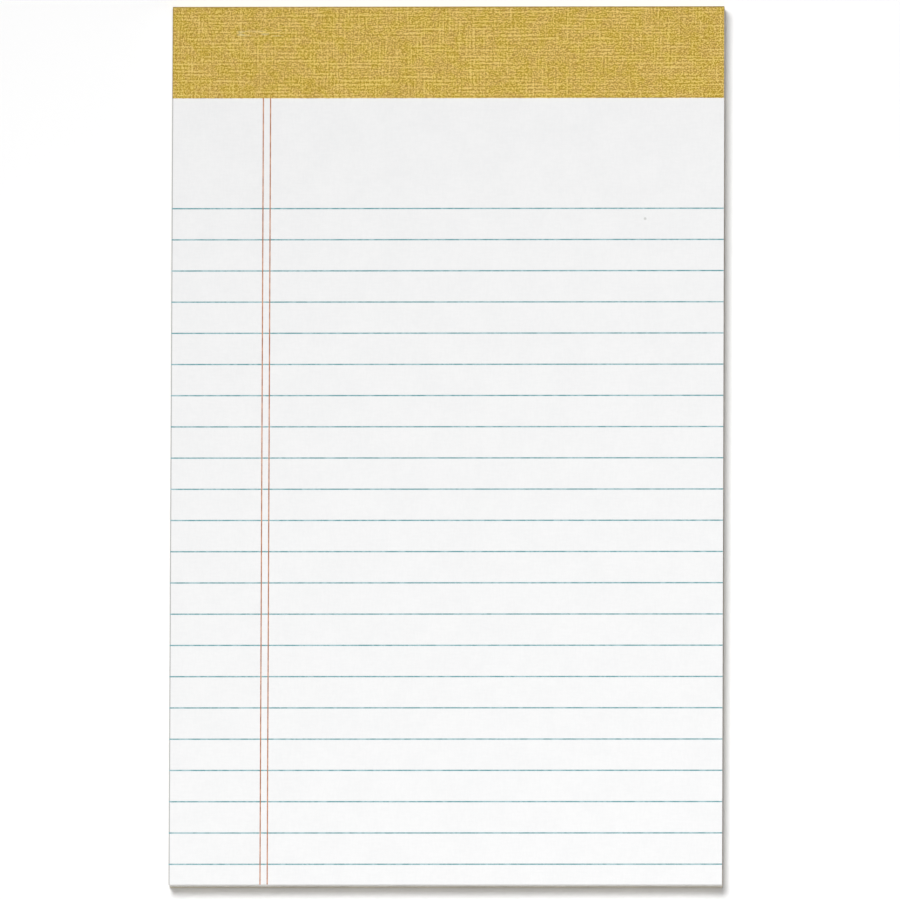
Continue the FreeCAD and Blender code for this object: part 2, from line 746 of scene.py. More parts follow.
@dataclass(frozen=True)
class PaperFinish:
    """Uncoated writing paper, seen on its face or on its cut edges."""

    side: PaperSide
    fibres: bpy.types.NodeTree
    specks: bpy.types.NodeTree
    low: Vector
    high: Vector
    cells: float = 2200.0
    clean: Colour = (0.942, 0.942, 0.942)
    cloudy: Colour = (0.910, 0.912, 0.914)
    cloud_span: Span = (0.35, 0.65)
    grain_span: Span = (0.40, 0.60)
    grain_share: float = 0.55
    streak_cells: Triple = (60.0, 60.0, 7000.0)
    streak_detail: float = 3.0
    streak_rough: float = 0.6
    streak_span: Span = (0.3, 0.7)
    streak_light: Colour = (0.93, 0.92, 0.90)
    streak_dark: Colour = (0.78, 0.76, 0.73)
    dust: SpeckLayer = SpeckLayer(
        cells=130.0, size=0.09, share=0.02, strength=0.5, colour=(0.45, 0.43, 0.40)
    )
    # Painted shade: a grey line along the top sheet's left edge, with its colour, width and blur
    edge_shade_colour: Colour = (0.50, 0.50, 0.49)
    edge_shade_width: float = 0.24 * MM
    edge_shade_blur: float = 0.05 * MM
    fleck_from_left: float = 108.9 * MM
    fleck_from_head: float = 49.15 * MM
    fleck_core: float = 0.15 * MM
    fleck_reach: float = 0.45 * MM
    fleck_share: float = 0.55
    fleck_colour: Colour = (0.47, 0.48, 0.45)
    tooth: Tooth = Tooth(rough_span=(0.78, 0.92), relief=0.4, depth=0.02 * MM, gloss=0.25)

    def clouded(self, graph: Graph, fibre: bpy.types.Node) -> Socket:
        """Colours the clean face.

        Args:
            graph: The material's tree.
            fibre: The node group of pressed fibres.

        Returns:
            The colour, with faint clouds and grain.
        """
        cloud = graph.remap(fibre.outputs["Clouds"], self.cloud_span)
        grain = graph.remap(fibre.outputs["Grain"], self.grain_span)
        return graph.mix(graph.blend(cloud, grain, self.grain_share), self.clean, self.cloudy)

    def fleck_and_edge_shade(self, graph: Graph, place: Socket, colour: Socket) -> Socket:
        """Paints shade along the top sheet's left edge, and adds one grey fleck.

        Args:
            graph: The material's tree.
            place: Place on the sheet.
            colour: The clean paper's colour.

        Returns:
            The colour with a grey rim along the left edge and one grey fleck.
        """
        x, _, _ = graph.split(place)
        # Painted shade: the face is greyed in a thin line along the left edge
        rim = self.low.x + self.edge_shade_width
        edge_shade = graph.remap(x, (rim - self.edge_shade_blur, rim + self.edge_shade_blur), (1.0, 0.0))
        colour = graph.mix(edge_shade, colour, self.edge_shade_colour)
        fleck = (self.low.x + self.fleck_from_left, self.high.y - self.fleck_from_head, self.high.z)
        off_fleck = graph.vector("DISTANCE", place, fleck)
        near = graph.remap(off_fleck, (self.fleck_core, self.fleck_reach), (self.fleck_share, 0.0))
        return graph.mix(near, colour, self.fleck_colour)

    def material(self) -> bpy.types.Material:
        """Makes the paper: clouded, flecked and with painted shade along the left edge on its face,
        streaked on its cut edges.

        Returns:
            The material.
        """
        material, graph, shader = new_material(self.side.value)
        place = graph.place()
        fibre = graph.group(self.fibres, Place=place, Cells=self.cells)
        grain = fibre.outputs["Grain"]
        if self.side is PaperSide.FACE:
            dusty = self.dust.over(graph, self.specks, place, self.clouded(graph, fibre))
            # The face gets painted shade along its left edge and one real grey fleck
            self.tooth.dress(graph, shader, self.fleck_and_edge_shade(graph, place, dusty), grain, grain)
            return material
        layers = graph.vector("MULTIPLY", place, self.streak_cells)
        streaks = graph.noise(layers, detail=self.streak_detail, rough=self.streak_rough)
        colour = graph.mix(graph.remap(streaks, self.streak_span), self.streak_dark, self.streak_light)
        dusty = self.dust.over(graph, self.specks, place, colour)
        self.tooth.dress(graph, shader, dusty, grain, graph.maths("ADD", grain, streaks))
        return material


@dataclass(frozen=True)
class BoardFinish:
    """Grey-brown chipboard with its specks and matted fibres."""

    fibres: bpy.types.NodeTree
    specks: bpy.types.NodeTree
    cells: float = 900.0
    grain_share: float = 0.5
    tone_span: Span = (0.36, 0.64)
    low: Colour = (0.305, 0.258, 0.16)
    high: Colour = (0.45, 0.387, 0.255)
    dark_specks: SpeckLayer = SpeckLayer(
        cells=1300.0, size=0.4, share=0.16, strength=0.6, colour=(0.09, 0.07, 0.05)
    )
    light_specks: SpeckLayer = SpeckLayer(
        cells=1000.0, size=0.38, share=0.14, strength=0.5, colour=(0.55, 0.50, 0.42), shift=(0.3, 0.1, 0.2)
    )
    tooth: Tooth = Tooth(rough_span=(0.82, 0.95), relief=0.5, depth=0.06 * MM, gloss=0.2)

    def material(self) -> bpy.types.Material:
        """Makes the chipboard: mottled pulp, dark and light specks, and a woolly tooth.

        Returns:
            The material.
        """
        material, graph, shader = new_material("chipboard")
        place = graph.place()
        fibre = graph.group(self.fibres, Place=place, Cells=self.cells)
        clouds, grain = fibre.outputs["Clouds"], fibre.outputs["Grain"]
        tone = graph.blend(clouds, grain, self.grain_share)
        colour = graph.mix(graph.remap(tone, self.tone_span), self.low, self.high)
        for layer in (self.dark_specks, self.light_specks):
            colour = layer.over(graph, self.specks, place, colour)
        self.tooth.dress(graph, shader, colour, grain, grain)
        return material


@dataclass(frozen=True)
class LinenFinish:
    """Golden strip paper printed and pressed like linen."""

    fibres: bpy.types.NodeTree
    threads: bpy.types.NodeTree
    attribute: str
    rubbed_crown: Vector
    crown_half: float
    fold_start: float
    fold_width: float
    left_end: float
    stops: tuple[tuple[float, Colour], ...] = (
        (0.0, (0.30, 0.165, 0.003)),
        (0.235, (0.435, 0.270, 0.014)),
        (0.47, (0.588, 0.382, 0.041)),
        (0.705, (0.762, 0.521, 0.104)),
        (1.0, (0.97, 0.745, 0.235)),
    )
    tan: Colour = (0.60, 0.385, 0.11)
    olive: Colour = (0.54, 0.39, 0.035)
    hue_cells: float = 270.0
    hue_detail: float = 2.0
    hue_rough: float = 0.6
    hue_span: Span = (0.38, 0.62)
    hue_share: float = 0.34
    rub: Colour = (0.80, 0.74, 0.48)
    rub_share: float = 0.4
    rub_core: float = 0.15 * MM
    rub_reach: float = 0.90 * MM
    rub_ends: Span = (0.85, 1.05)
    rub_cells: Triple = (240.0, 900.0, 1.0)
    rub_detail: float = 3.0
    rub_span: Span = (0.5, 0.62)
    # Painted shade along the fold at the head and at the strip's cut left end
    painted_shade_colour: Colour = (0.17, 0.12, 0.05)
    painted_shade_share: float = 0.64
    fold_shade_core: float = 0.2
    end_shade_width: float = 0.28 * MM
    cells: float = 2600.0
    fibre_relief: float = 0.3
    tooth: Tooth = Tooth(
        rough_span=(0.62, 0.80), relief=0.6, depth=0.035 * MM, gloss=0.2, grain_span=(0.0, 1.0)
    )

    def rubbed(self, graph: Graph, flat: Socket, colour: Socket) -> Socket:
        """Rubs the strip pale over the crown of a staple.

        Args:
            graph: The material's tree.
            flat: Place on the strip as it lay before it was folded.
            colour: The strip's colour.

        Returns:
            The colour with the rubs.
        """
        x, y, _ = graph.split(flat)
        off_line = graph.maths("ABSOLUTE", graph.maths("SUBTRACT", y, self.rubbed_crown.y))
        off_middle = graph.maths("ABSOLUTE", graph.maths("SUBTRACT", x, self.rubbed_crown.x))
        ends = (self.rub_ends[0] * self.crown_half, self.rub_ends[1] * self.crown_half)
        on_line = graph.remap(off_line, (self.rub_core, self.rub_reach), (1.0, 0.0))
        on_crown = graph.maths("MULTIPLY", on_line, graph.remap(off_middle, ends, (1.0, 0.0)))
        patches = graph.noise(graph.vector("MULTIPLY", flat, self.rub_cells), detail=self.rub_detail)
        mask = graph.maths("MULTIPLY", on_crown, graph.remap(patches, self.rub_span))
        return graph.mix(graph.maths("MULTIPLY", mask, self.rub_share), colour, self.rub)

    def folded(self, graph: Graph, flat: Socket, colour: Socket) -> Socket:
        """Paints shade on the strip along the fold, and at its cut left end.

        Args:
            graph: The material's tree.
            flat: Place on the strip as it lay before it was folded.
            colour: The strip's colour.

        Returns:
            The colour with the two painted shade lines.
        """
        x, y, _ = graph.split(flat)
        # Painted shade: darker along the fold and at the left end
        off_fold = graph.maths("ABSOLUTE", graph.maths("SUBTRACT", y, self.fold_start + self.fold_width))
        fold = graph.remap(off_fold, (self.fold_shade_core * self.fold_width, self.fold_width), (1.0, 0.0))
        end = graph.remap(x, (self.left_end, self.left_end + self.end_shade_width), (1.0, 0.0))
        fold_and_end_shade = graph.maths("MAXIMUM", fold, end)
        return graph.mix(graph.maths("MULTIPLY", fold_and_end_shade, self.painted_shade_share), colour, self.painted_shade_colour)

    def material(self) -> bpy.types.Material:
        """Makes the linen-printed strip with its pressed threads, rubs and painted shade at the fold.

        Returns:
            The material.
        """
        material, graph, shader = new_material("linen_strip")
        source = graph.add("ShaderNodeAttribute", attribute_type="GEOMETRY", attribute_name=self.attribute)
        flat = source.outputs["Vector"]
        linen = graph.group(self.threads, Place=flat)
        fibre = graph.group(self.fibres, Place=flat, Cells=self.cells)
        patches = graph.noise(flat, self.hue_cells, self.hue_detail, self.hue_rough)
        hue = graph.mix(graph.remap(patches, self.hue_span), self.tan, self.olive)
        colour = graph.mix(self.hue_share, graph.ramp(linen.outputs["Light"], self.stops), hue)
        # Painted shade along the fold and at the left end, laid over the rubs
        colour = self.folded(graph, flat, self.rubbed(graph, flat, colour))
        fibre_height = graph.maths("MULTIPLY", fibre.outputs["Grain"], self.fibre_relief)
        height = graph.maths("ADD", linen.outputs["Relief"], fibre_height)
        self.tooth.dress(graph, shader, colour, linen.outputs["Light"], height)
        return material


@dataclass(frozen=True)
class InkFinish:
    """Thin offset ink, uneven along its line."""

    name: str
    fibres: bpy.types.NodeTree
    full: Colour
    thin: Colour
    cells: float = 2400.0
    uneven_cells: float = 560.0
    uneven_detail: float = 3.0
    uneven_rough: float = 0.7
    uneven_span: Span = (0.38, 0.66)
    grain_share: float = 0.2
    tooth: Tooth = Tooth(rough_span=(0.7, 0.85), relief=0.2, depth=0.01 * MM, gloss=0.3)

    def material(self) -> bpy.types.Material:
        """Makes ink that pales here and there where the paper's tooth took less of it.

        Returns:
            The material.
        """
        material, graph, shader = new_material(self.name)
        place = graph.place()
        grain = graph.group(self.fibres, Place=place, Cells=self.cells).outputs["Grain"]
        uneven = graph.noise(place, self.uneven_cells, self.uneven_detail, self.uneven_rough)
        pale = graph.remap(uneven, self.uneven_span)
        share = graph.maths("ADD", pale, graph.maths("MULTIPLY", grain, self.grain_share), clamp=True)
        self.tooth.dress(graph, shader, graph.mix(share, self.full, self.thin), grain, grain)
        return material


@dataclass(frozen=True)
class WireFinish:
    """Drawn and flattened steel wire."""

    fibres: bpy.types.NodeTree
    bright: Colour = (0.62, 0.62, 0.64)
    dull: Colour = (0.42, 0.42, 0.43)
    cells: float = 3000.0
    dull_span: Span = (0.35, 0.65)
    tooth: Tooth = Tooth(rough_span=(0.25, 0.45), relief=0.3, depth=0.005 * MM)

    def material(self) -> bpy.types.Material:
        """Makes steel with the fine scratches of drawing and dull spots.

        Returns:
            The material.
        """
        material, graph, shader = new_material("staple_wire")
        fibre = graph.group(self.fibres, Place=graph.place(), Cells=self.cells)
        grain = fibre.outputs["Grain"]
        dull = graph.remap(fibre.outputs["Clouds"], self.dull_span)
        self.tooth.dress(graph, shader, graph.mix(dull, self.bright, self.dull), grain, grain)
        shader.inputs["Metallic"].default_value = 1.0
        return material


# The pad's pieces


@dataclass(frozen=True)
class Outline:
    """Upright rectangle in plan, in metres."""

    left: float
    right: float
    foot: float
    head: float

    @property
    def span(self) -> Vector:
        """Width and depth."""
        return Vector((self.right - self.left, self.head - self.foot, 1.0))

    def centre(self, height: float) -> Vector:
        """Its middle, at a height."""
        return Vector(((self.left + self.right) / 2, (self.foot + self.head) / 2, height))

    def inset(self, depth: float) -> "Outline":
        """The same outline drawn in by a depth on all sides."""
        return Outline(self.left + depth, self.right - depth, self.foot + depth, self.head - depth)

    def shifted(self, across: float, along: float) -> "Outline":
        """The same outline moved in plan."""
        return Outline(self.left + across, self.right + across, self.foot + along, self.head + along)


class Section(Enum):
    """Section of a bar that follows a staple's line."""

    ROUND = "round"
    SQUARE = "square"


@dataclass(frozen=True)
class StapleLine:
    """Centre line of a clinched staple, read from its CAD node."""

    node: str
    gap: float = 2.6 * MM
    inner_bend: float = 0.35 * MM
    seat_clearance: float = 0.03 * MM
    round_sides: int = 16
    bend_steps: int = 6

    @property
    def radius(self) -> float:
        """Half the wire's thickness."""
        low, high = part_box(self.node)
        return (high.y - low.y) / 2

    @property
    def middle(self) -> Vector:
        """Middle of the staple's box."""
        low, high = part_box(self.node)
        return (low + high) / 2

    @property
    def half_length(self) -> float:
        """Half the length of the crown."""
        low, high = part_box(self.node)
        return (high.x - low.x) / 2

    def bar(self, name: str, section: Section) -> Piece:
        """A bar along the whole line.

        Args:
            name: The new object's name.
            section: Round for the wire itself, square for the channel that it lies in.

        Returns:
            The closed bar.
        """
        low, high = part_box(self.node)
        wire = self.radius
        half = wire if section is Section.ROUND else wire + self.seat_clearance
        gap = self.gap if section is Section.ROUND else self.gap - 2 * self.seat_clearance
        bend = self.inner_bend + wire
        floor, roof = low.z + wire, high.z - wire
        left, right = low.x + wire, high.x - wire
        middle = self.middle
        start = Vector((middle.x - gap / 2, middle.y, floor))
        quarter = math.pi / 2
        if section is Section.ROUND:
            bpy.ops.mesh.primitive_circle_add(
                vertices=self.round_sides, radius=half, location=start, rotation=(0, quarter, 0)
            )
        else:
            bpy.ops.mesh.primitive_plane_add(size=2 * half, location=start, rotation=(0, quarter, 0))
        piece = settle(bpy.context.active_object, name)
        with editing(piece):
            bpy.ops.mesh.select_all(action="SELECT")
            if section is Section.SQUARE:
                bpy.ops.mesh.delete(type="ONLY_FACE")
                pick_all(Element.EDGE)
            extrude(Vector((left + bend - start.x, 0, 0)))
            self.turn(Vector((left + bend, middle.y, floor + bend)))
            extrude(Vector((0, 0, roof - floor - 2 * bend)))
            self.turn(Vector((left + bend, middle.y, roof - bend)))
            extrude(Vector((right - left - 2 * bend, 0, 0)))
            self.turn(Vector((right - bend, middle.y, roof - bend)))
            extrude(Vector((0, 0, floor - roof + 2 * bend)))
            self.turn(Vector((right - bend, middle.y, floor + bend)))
            extrude(Vector((middle.x + gap / 2 - right + bend, 0, 0)))
        close_up(piece)
        return piece

    def turn(self, centre: Vector) -> None:
        """Carries the open end a quarter turn round a bend's centre."""
        swing(Vector((0, 1, 0)), centre, self.bend_steps)


def cut_seats(piece: Piece, staples: list[StapleLine]) -> None:
    """Cuts the staples' channels out of a layer.

    Args:
        piece: The layer.
        staples: The staples that go through it.
    """
    for staple in staples:
        tool = staple.bar("seat_tool", Section.SQUARE)
        modify(piece, "BOOLEAN", object=tool, operation="DIFFERENCE", solver="EXACT")
        bpy.data.objects.remove(tool)


@dataclass
class SheetStack:
    """The ruled sheets: the top one, and the stack under it with the edge of every sheet."""

    staples: list[StapleLine]
    face: bpy.types.Material
    edges: bpy.types.Material
    node: str = "page_block"
    sheets: int = 50
    leaf_share: float = 0.86
    groove: float = 0.07 * MM
    slack: float = 0.05 * MM
    head_round: float = 0.5 * MM
    cells: tuple[int, int] = (20, 32)
    seed: int = 12
    rng: random.Random = field(init=False)

    def __post_init__(self) -> None:
        """Seeds the small shifts of the sheets."""
        self.rng = random.Random(self.seed)

    @property
    def pitch(self) -> float:
        """Height that one sheet takes."""
        low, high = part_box(self.node)
        return (high.z - low.z) / self.sheets

    def outline(self, top: float) -> Outline:
        """Where a sheet whose upper face is at top ends, with the head rounded under the fold.

        Args:
            top: Height of the sheet's upper face.

        Returns:
            The sheet's outline.
        """
        low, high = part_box(self.node)
        rise = max(0.0, top - (high.z - self.head_round))
        set_back = self.head_round - math.sqrt(max(0.0, self.head_round**2 - rise**2))
        return Outline(low.x, high.x, low.y, high.y - set_back)

    def jogged(self, outline: Outline) -> Outline:
        """Gives an outline as a sheet in use has it: a little inside, and a little off.

        Args:
            outline: The neat outline.

        Returns:
            The outline that the sheet takes.
        """
        off = [self.rng.uniform(-1.0, 1.0) * self.slack / 2 for _ in range(2)]
        tight = Outline(
            outline.left + self.slack, outline.right - self.slack, outline.foot + self.slack, outline.head
        )
        moved = tight.shifted(off[0], off[1])
        return Outline(moved.left, moved.right, moved.foot, outline.head)

    def sheet_plane(self, name: str, outline: Outline, height: float) -> Piece:
        """Adds a flat grid.

        Args:
            name: Its name.
            outline: Its outline.
            height: Its height.

        Returns:
            The grid.
        """
        columns, rows = self.cells
        bpy.ops.mesh.primitive_grid_add(
            x_subdivisions=columns, y_subdivisions=rows, size=1.0, location=outline.centre(height)
        )
        piece = bpy.context.active_object
        piece.scale = outline.span
        return settle(piece, name)

    def refit(self, old: Outline, new: Outline, height: float) -> None:
        """Gives the selected cap another outline, with a ledge between the two.

        Args:
            old: The outline that it has.
            new: The outline that it gets.
            height: Its height.
        """
        extrude(Vector((0, 0, 0)))
        factors = Vector((new.span.x / old.span.x, new.span.y / old.span.y, 1.0))
        stretch(factors, old.centre(height))
        move(new.centre(height) - old.centre(height))

    def build_stack(self) -> None:
        """Builds the sheets under the top one, each with its own edge."""
        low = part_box(self.node)[0]
        leaf = self.pitch * self.leaf_share
        height = low.z
        now = self.jogged(self.outline(height + leaf))
        piece = self.sheet_plane("sheet_stack", now, height)
        with editing(piece):
            pick_all(Element.FACE)
            for index in range(self.sheets - 1):
                extrude(Vector((0, 0, leaf)))
                height += leaf
                valley = now.inset(self.groove)
                self.refit(now, valley, height)
                extrude(Vector((0, 0, self.pitch - leaf)))
                height = low.z + (index + 1) * self.pitch
                if index < self.sheets - 2:
                    now = self.jogged(self.outline(height + leaf))
                    self.refit(valley, now, height)
        close_up(piece)
        cut_seats(piece, self.staples)
        hand_in(piece, self.edges, self.node)

    def build_top(self) -> None:
        """Builds the top sheet."""
        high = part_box(self.node)[1]
        thickness = self.pitch * self.leaf_share
        outline = self.outline(high.z)
        piece = self.sheet_plane("top_sheet", outline, high.z - thickness)
        with editing(piece):
            pick_all(Element.FACE)
            extrude(Vector((0, 0, thickness)))
        close_up(piece)
        cut_seats(piece, self.staples)
        hand_in(piece, self.face, self.node)

    def build(self) -> None:
        """Builds the stack and the top sheet."""
        self.build_stack()
        self.build_top()


@dataclass
class BackingBoard:
    """The chipboard under the sheets."""

    staples: list[StapleLine]
    finish: bpy.types.Material
    node: str = "backing_board"
    head_round: float = 0.5 * MM
    head_steps: int = 6
    burr: float = 0.07 * MM
    burr_steps: int = 2

    def build(self) -> None:
        """Builds the board with crisp trimmed edges, rounded under at the head."""
        low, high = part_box(self.node)
        bpy.ops.mesh.primitive_cube_add(size=1.0, location=(low + high) / 2)
        piece = bpy.context.active_object
        piece.scale = high - low
        settle(piece, "backing")
        with editing(piece):
            pick(
                piece,
                Element.EDGE,
                lambda place, way: abs(place.y - high.y) < NEAR
                and abs(place.z - low.z) < NEAR
                and abs(way.x) > MOSTLY,
            )
            bpy.ops.mesh.bevel(offset=self.head_round, segments=self.head_steps, affect="EDGES")
            pick(
                piece,
                Element.EDGE,
                lambda place, way: place.y < high.y - 2 * self.head_round
                and (abs(place.z - low.z) < NEAR or abs(place.z - high.z) < NEAR or abs(way.z) > MOSTLY),
            )
            bpy.ops.mesh.bevel(offset=self.burr, segments=self.burr_steps, affect="EDGES")
        close_up(piece)
        cut_seats(piece, self.staples)
        hand_in(piece, self.finish, self.node)


@dataclass
class HeadStrip:
    """The linen strip that wraps the head."""

    staples: list[StapleLine]
    node: str = "binding_strip"
    lap_end_node: str = "margin_lines"
    thickness: float = 0.15 * MM
    head_round: float = 0.5 * MM
    ridge: float = 0.09 * MM
    ridge_reach: float = 1.1 * MM
    columns: int = 252
    row: float = 0.5 * MM
    fold_steps: int = 6
    ragged: float = 0.04 * MM
    side_inset: float = 0.05 * MM
    smooth_under: float = math.radians(40)
    sheet_node: str = "page_block"
    attribute: str = "flat_place"
    seed: int = 5

    @property
    def lap_end(self) -> float:
        """Y of the front lap's end, where the margin lines begin."""
        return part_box(self.lap_end_node)[1].y

    @property
    def outer_round(self) -> float:
        """Radius of the folds on their outer side."""
        return self.head_round + self.thickness

    @property
    def fold_start(self) -> float:
        """Y where the front lap begins to turn down over the head."""
        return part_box(self.node)[1].y - self.outer_round

    @property
    def fold_width(self) -> float:
        """Length of the strip that one fold takes."""
        return self.outer_round * math.pi / 2

    def rows_over(self, distance: float) -> int:
        """How many rows of faces cover a distance."""
        return max(1, round(distance / self.row))

    def run(self, step: Vector) -> None:
        """Extrudes the selected edge in rows.

        Args:
            step: How far it goes in all.
        """
        rows = self.rows_over(step.length)
        for _ in range(rows):
            extrude(step / rows)

    def fold(self, centre: Vector) -> None:
        """Carries the selected edge a quarter turn round a fold's centre, over the head."""
        swing(Vector((-1, 0, 0)), centre, self.fold_steps)

    def build(self, finish: bpy.types.Material) -> None:
        """Builds the folded strip with the crowns of the staples showing through.

        Args:
            finish: The strip's material.
        """
        low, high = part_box(self.node)
        outer = self.outer_round
        sheet_low, sheet_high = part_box(self.sheet_node)
        width = sheet_high.x - sheet_low.x - 2 * self.side_inset
        bpy.ops.mesh.primitive_grid_add(x_subdivisions=self.columns, y_subdivisions=1, size=1.0)
        piece = bpy.context.active_object
        piece.scale = (width, self.row, 1.0)
        piece.location = ((low.x + high.x) / 2, self.lap_end + self.row / 2, high.z)
        settle(piece, "head_strip")
        start = self.lap_end + self.row
        with editing(piece):
            pick(piece, Element.EDGE, lambda place, way: abs(place.y - start) < NEAR)
            self.run(Vector((0, high.y - outer - start, 0)))
            self.fold(Vector((0, high.y - outer, high.z - outer)))
            self.run(Vector((0, 0, low.z - high.z + 2 * outer)))
            self.fold(Vector((0, high.y - outer, low.z + outer)))
            self.run(Vector((0, low.y - high.y + outer, 0)))
            self.press_ridges(piece, high.z)
            self.roughen_ends(piece)
        self.mark_flat_place(piece)
        modify(piece, "SOLIDIFY", thickness=self.thickness, offset=-1.0, use_even_offset=True)
        close_up(piece)
        bpy.ops.object.shade_smooth_by_angle(angle=self.smooth_under)
        hand_in(piece, finish, self.node)

    def press_ridges(self, piece: Piece, top: float) -> None:
        """Raises the front lap softly over each staple's crown.

        Args:
            piece: The strip, in edit mode.
            top: Height of the front lap.
        """
        for staple in self.staples:
            middle = staple.middle
            half = staple.half_length - self.ridge_reach / 2
            pick(
                piece,
                Element.CORNER,
                lambda place, way, middle=middle, half=half: abs(place.x - middle.x) < half
                and abs(place.y - middle.y) < self.row / 2
                and abs(place.z - top) < self.thickness,
            )
            bpy.ops.transform.translate(
                value=(0, 0, self.ridge),
                orient_type="GLOBAL",
                use_proportional_edit=True,
                proportional_edit_falloff="SMOOTH",
                proportional_size=self.ridge_reach,
            )

    def roughen_ends(self, piece: Piece) -> None:
        """Makes the cut ends of the laps a little uneven, and keeps them flat.

        Args:
            piece: The strip, in edit mode.
        """
        low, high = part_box(self.node)
        for end, height in ((self.lap_end, high.z), (low.y, low.z)):
            pick(
                piece,
                Element.CORNER,
                lambda place, way, end=end, height=height: abs(place.y - end) < NEAR
                and abs(place.z - height) < self.thickness,
            )
            bpy.ops.transform.vertex_random(offset=self.ragged, uniform=0.0, seed=self.seed)
            stretch(Vector((1.0, 1.0, 0.0)), Vector((0.0, end, height)))

    def mark_flat_place(self, piece: Piece) -> None:
        """Stores each corner's place on the strip as it lay before it was folded.

        Args:
            piece: The folded strip, still without its thickness.
        """
        low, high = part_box(self.node)
        outer, quarter, fold_y = self.outer_round, self.fold_width, self.fold_start
        top_z, low_z = high.z - outer, low.z + outer
        layer = piece.data.attributes.new(self.attribute, "FLOAT_VECTOR", "POINT")
        for corner, value in zip(piece.data.vertices, layer.data):
            place = corner.co
            if place.y <= fold_y:
                if place.z > (low.z + high.z) / 2:
                    flat = place.y
                else:
                    flat = fold_y + 2 * quarter + (top_z - low_z) + (fold_y - place.y)
            elif place.z >= top_z:
                flat = fold_y + outer * math.atan2(place.y - fold_y, place.z - top_z)
            elif place.z > low_z:
                flat = fold_y + quarter + (top_z - place.z)
            else:
                turned = math.atan2(low_z - place.z, place.y - fold_y)
                flat = fold_y + quarter + (top_z - low_z) + outer * turned
            value.vector = (place.x, flat, 0.0)


@dataclass
class WireStaples:
    """The wire staples, with their tips pressed flat."""

    staples: list[StapleLine]
    finish: bpy.types.Material
    pressed: float = 0.45
    tip_reach: float = 0.1
    smooth_under: float = math.radians(50)

    def build(self) -> None:
        """Builds each staple from its line."""
        for staple in self.staples:
            piece = staple.bar(staple.node.replace("staple", "wire_staple"), Section.ROUND)
            reach = staple.gap / 2 + staple.radius * self.tip_reach
            middle = staple.middle
            tip_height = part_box(staple.node)[0].z + staple.radius
            with editing(piece):
                pick(
                    piece,
                    Element.CORNER,
                    lambda place, way, middle=middle, reach=reach: abs(place.x - middle.x) < reach
                    and place.z < middle.z,
                )
                stretch(Vector((1.0, 1.0, self.pressed)), Vector((middle.x, middle.y, tip_height)))
            bpy.ops.object.shade_smooth_by_angle(angle=self.smooth_under)
            hand_in(piece, self.finish, staple.node)


@dataclass
class PrintedLines:
    """A CAD node of printed lines, which shows as it is."""

    node: str
    ink: bpy.types.Material

    def build(self) -> None:
        """Gives the lines their ink."""
        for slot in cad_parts[self.node].material_slots:
            slot.material = self.ink
        LOG.info("%s: printed with %s", self.node, self.ink.name)


# The table, the lamps and the camera


@dataclass(frozen=True)
class Lamp:
    """Soft area lamp, which may be aimed past the pad so that the far side gets more of it.

    Its share is the part of full light that it gives the middle of the pad's upper face.
    """

    name: str
    place: Vector
    aim: Vector
    across: float
    along: float
    spread: float
    share: float

    def beam(self) -> float:
        """Works out how strongly the lamp shines toward the pad's middle.

        Returns:
            The strength, 1 being a plain flat lamp.
        """
        off_axis = (self.aim - self.place).angle(-self.place)
        half = self.spread / 2
        return math.cos(off_axis) * (math.tan(half) - math.tan(off_axis)) / (math.tan(half) - half)

    def build(self) -> None:
        """Adds the lamp, with the power that its share takes at its distance."""
        light = bpy.data.lights.new(self.name, "AREA")
        light.shape = "ELLIPSE"
        light.size = self.across
        light.size_y = self.along
        light.spread = self.spread
        distance = self.place.length
        slant = self.place.z / distance
        light.energy = self.share * math.pi**2 * distance**2 / (slant * self.beam())
        lamp = bpy.data.objects.new(self.name, light)
        lamp.location = self.place
        lamp.rotation_euler = (self.place - self.aim).to_track_quat("Z", "Y").to_euler()
        lamp.visible_camera = False
        bpy.context.collection.objects.link(lamp)
        LOG.info("lamp %s: %.1f W", self.name, light.energy)


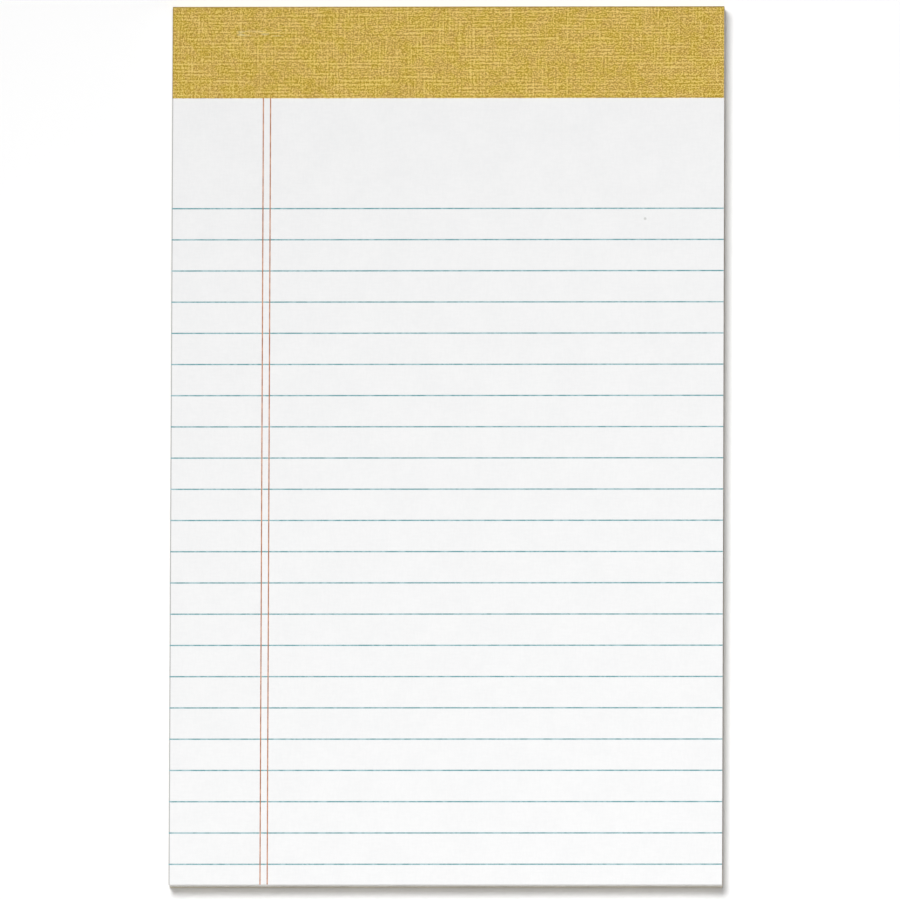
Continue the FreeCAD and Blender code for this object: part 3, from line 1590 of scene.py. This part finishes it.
@dataclass(frozen=True)
class Studio:
    """White table, plain lamps and the camera high over the pad."""

    lamps: tuple[Lamp, ...] = (
        Lamp(
            "window",
            place=Vector((-0.231, 0.50, 2.0)),
            aim=Vector((0.322, -0.79, 0.0)),
            across=0.88,
            along=0.83,
            spread=math.radians(90),
            share=0.852,
        ),
        Lamp(
            "foot_fill",
            place=Vector((0.15, -1.1, 0.19)),
            aim=Vector((0.0, 0.0, 0.0)),
            across=0.8,
            along=0.3,
            spread=math.radians(120),
            share=0.075,
        ),
    )
    sky_share: float = 0.11
    table_side: float = 5.0
    table_colour: Colour = (0.94, 0.94, 0.94)
    table_rough: float = 0.9
    table_glow: float = 0.135
    table_gap: float = 0.02 * MM
    eye: Vector = Vector((0.29625, -0.96984, 7.94204))
    aim: Vector = Vector((0.0007366, -0.0012244, 0.0064))
    roll: float = math.radians(0.21635)
    focal_px: float = 34837.1
    sensor: float = 36.0
    farthest: float = 50.0

    @staticmethod
    def seen_directly(graph: Graph) -> Socket:
        """Tells the rays that look at a thing from those that carry its light.

        Args:
            graph: The tree of the thing's material.

        Returns:
            1 for camera, glossy and transmission rays, and 0 for the rest.
        """
        path = graph.add("ShaderNodeLightPath")
        seen = graph.maths("ADD", path.outputs["Is Camera Ray"], path.outputs["Is Glossy Ray"])
        return graph.maths("ADD", seen, path.outputs["Is Transmission Ray"], clamp=True)

    def build_sky(self) -> None:
        """White sky that lights the pad only by its share."""
        world = bpy.data.worlds.new("sky")
        world.use_nodes = True
        bpy.context.scene.world = world
        graph = Graph(world.node_tree)
        backdrop = world.node_tree.nodes["Background"]
        seen = self.seen_directly(graph)
        graph.feed(backdrop.inputs["Strength"], graph.remap(seen, (0.0, 1.0), (self.sky_share, 1.0)))
        graph.feed(backdrop.inputs["Color"], (1.0, 1.0, 1.0))

    def build_table(self) -> None:
        """White table that keeps the pad's shadow."""
        bpy.ops.mesh.primitive_plane_add(size=self.table_side, location=(0, 0, -self.table_gap))
        table = settle(bpy.context.active_object, "table")
        material, graph, shader = new_material("white_table")
        graph.feed(shader.inputs["Base Color"], self.table_colour)
        shader.inputs["Roughness"].default_value = self.table_rough
        shader.inputs["Specular IOR Level"].default_value = 0.0
        glow = graph.add("ShaderNodeEmission")
        strength = graph.maths("MULTIPLY", self.seen_directly(graph), self.table_glow)
        graph.feed(glow.inputs["Strength"], strength)
        both = graph.add("ShaderNodeAddShader")
        graph.feed(both.inputs[0], shader.outputs[0])
        graph.feed(both.inputs[1], glow.outputs[0])
        output = material.node_tree.nodes["Material Output"]
        graph.feed(output.inputs["Surface"], both.outputs[0])
        table.data.materials.append(material)

    def build_camera(self) -> None:
        """Long lens high over the foot of the pad, as the photograph has it."""
        data = bpy.data.cameras.new("eye")
        data.sensor_width = self.sensor
        data.lens = self.focal_px / PHOTO_SIDE_PX * self.sensor
        data.clip_end = self.farthest
        camera = bpy.data.objects.new("eye", data)
        look = (self.aim - self.eye).normalized()
        across = look.cross(Vector((0, 1, 0))).normalized()
        turn = Matrix((across, across.cross(look), -look)).transposed().to_4x4()
        camera.matrix_world = Matrix.Translation(self.eye) @ turn @ Matrix.Rotation(self.roll, 4, "Z")
        bpy.context.collection.objects.link(camera)
        bpy.context.scene.camera = camera

    def build(self) -> None:
        """Sets up everything round the pad."""
        self.build_sky()
        self.build_table()
        for lamp in self.lamps:
            lamp.build()
        self.build_camera()
        bpy.context.scene.view_settings.view_transform = "Standard"


def main() -> None:
    """Builds the studio and the pad, piece by piece."""
    logging.basicConfig(level=logging.INFO, format="%(name)s %(message)s")
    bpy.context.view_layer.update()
    Studio().build()
    fibres, specks, threads = PressedFibres().tree(), SparseSpecks().tree(), LinenWeave().tree()
    staples = [StapleLine("staple_left"), StapleLine("staple_right")]
    low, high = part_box("page_block")
    face = PaperFinish(PaperSide.FACE, fibres, specks, low, high)
    edges = PaperFinish(PaperSide.EDGES, fibres, specks, low, high)
    SheetStack(staples, face.material(), edges.material()).build()
    BackingBoard(staples, BoardFinish(fibres, specks).material()).build()
    strip = HeadStrip(staples)
    linen = LinenFinish(
        fibres,
        threads,
        strip.attribute,
        rubbed_crown=staples[0].middle,
        crown_half=staples[0].half_length,
        fold_start=strip.fold_start,
        fold_width=strip.fold_width,
        left_end=low.x + strip.side_inset,
    )
    strip.build(linen.material())
    WireStaples(staples, WireFinish(fibres).material()).build()
    blue = InkFinish("blue_ink", fibres, full=(0.09, 0.31, 0.34), thin=(0.34, 0.54, 0.575))
    red = InkFinish("margin_ink", fibres, full=(0.387, 0.138, 0.064), thin=(0.625, 0.304, 0.183))
    PrintedLines("blue_ruling", blue.material()).build()
    PrintedLines("margin_lines", red.material()).build()


if __name__ == "__main__":
    main()
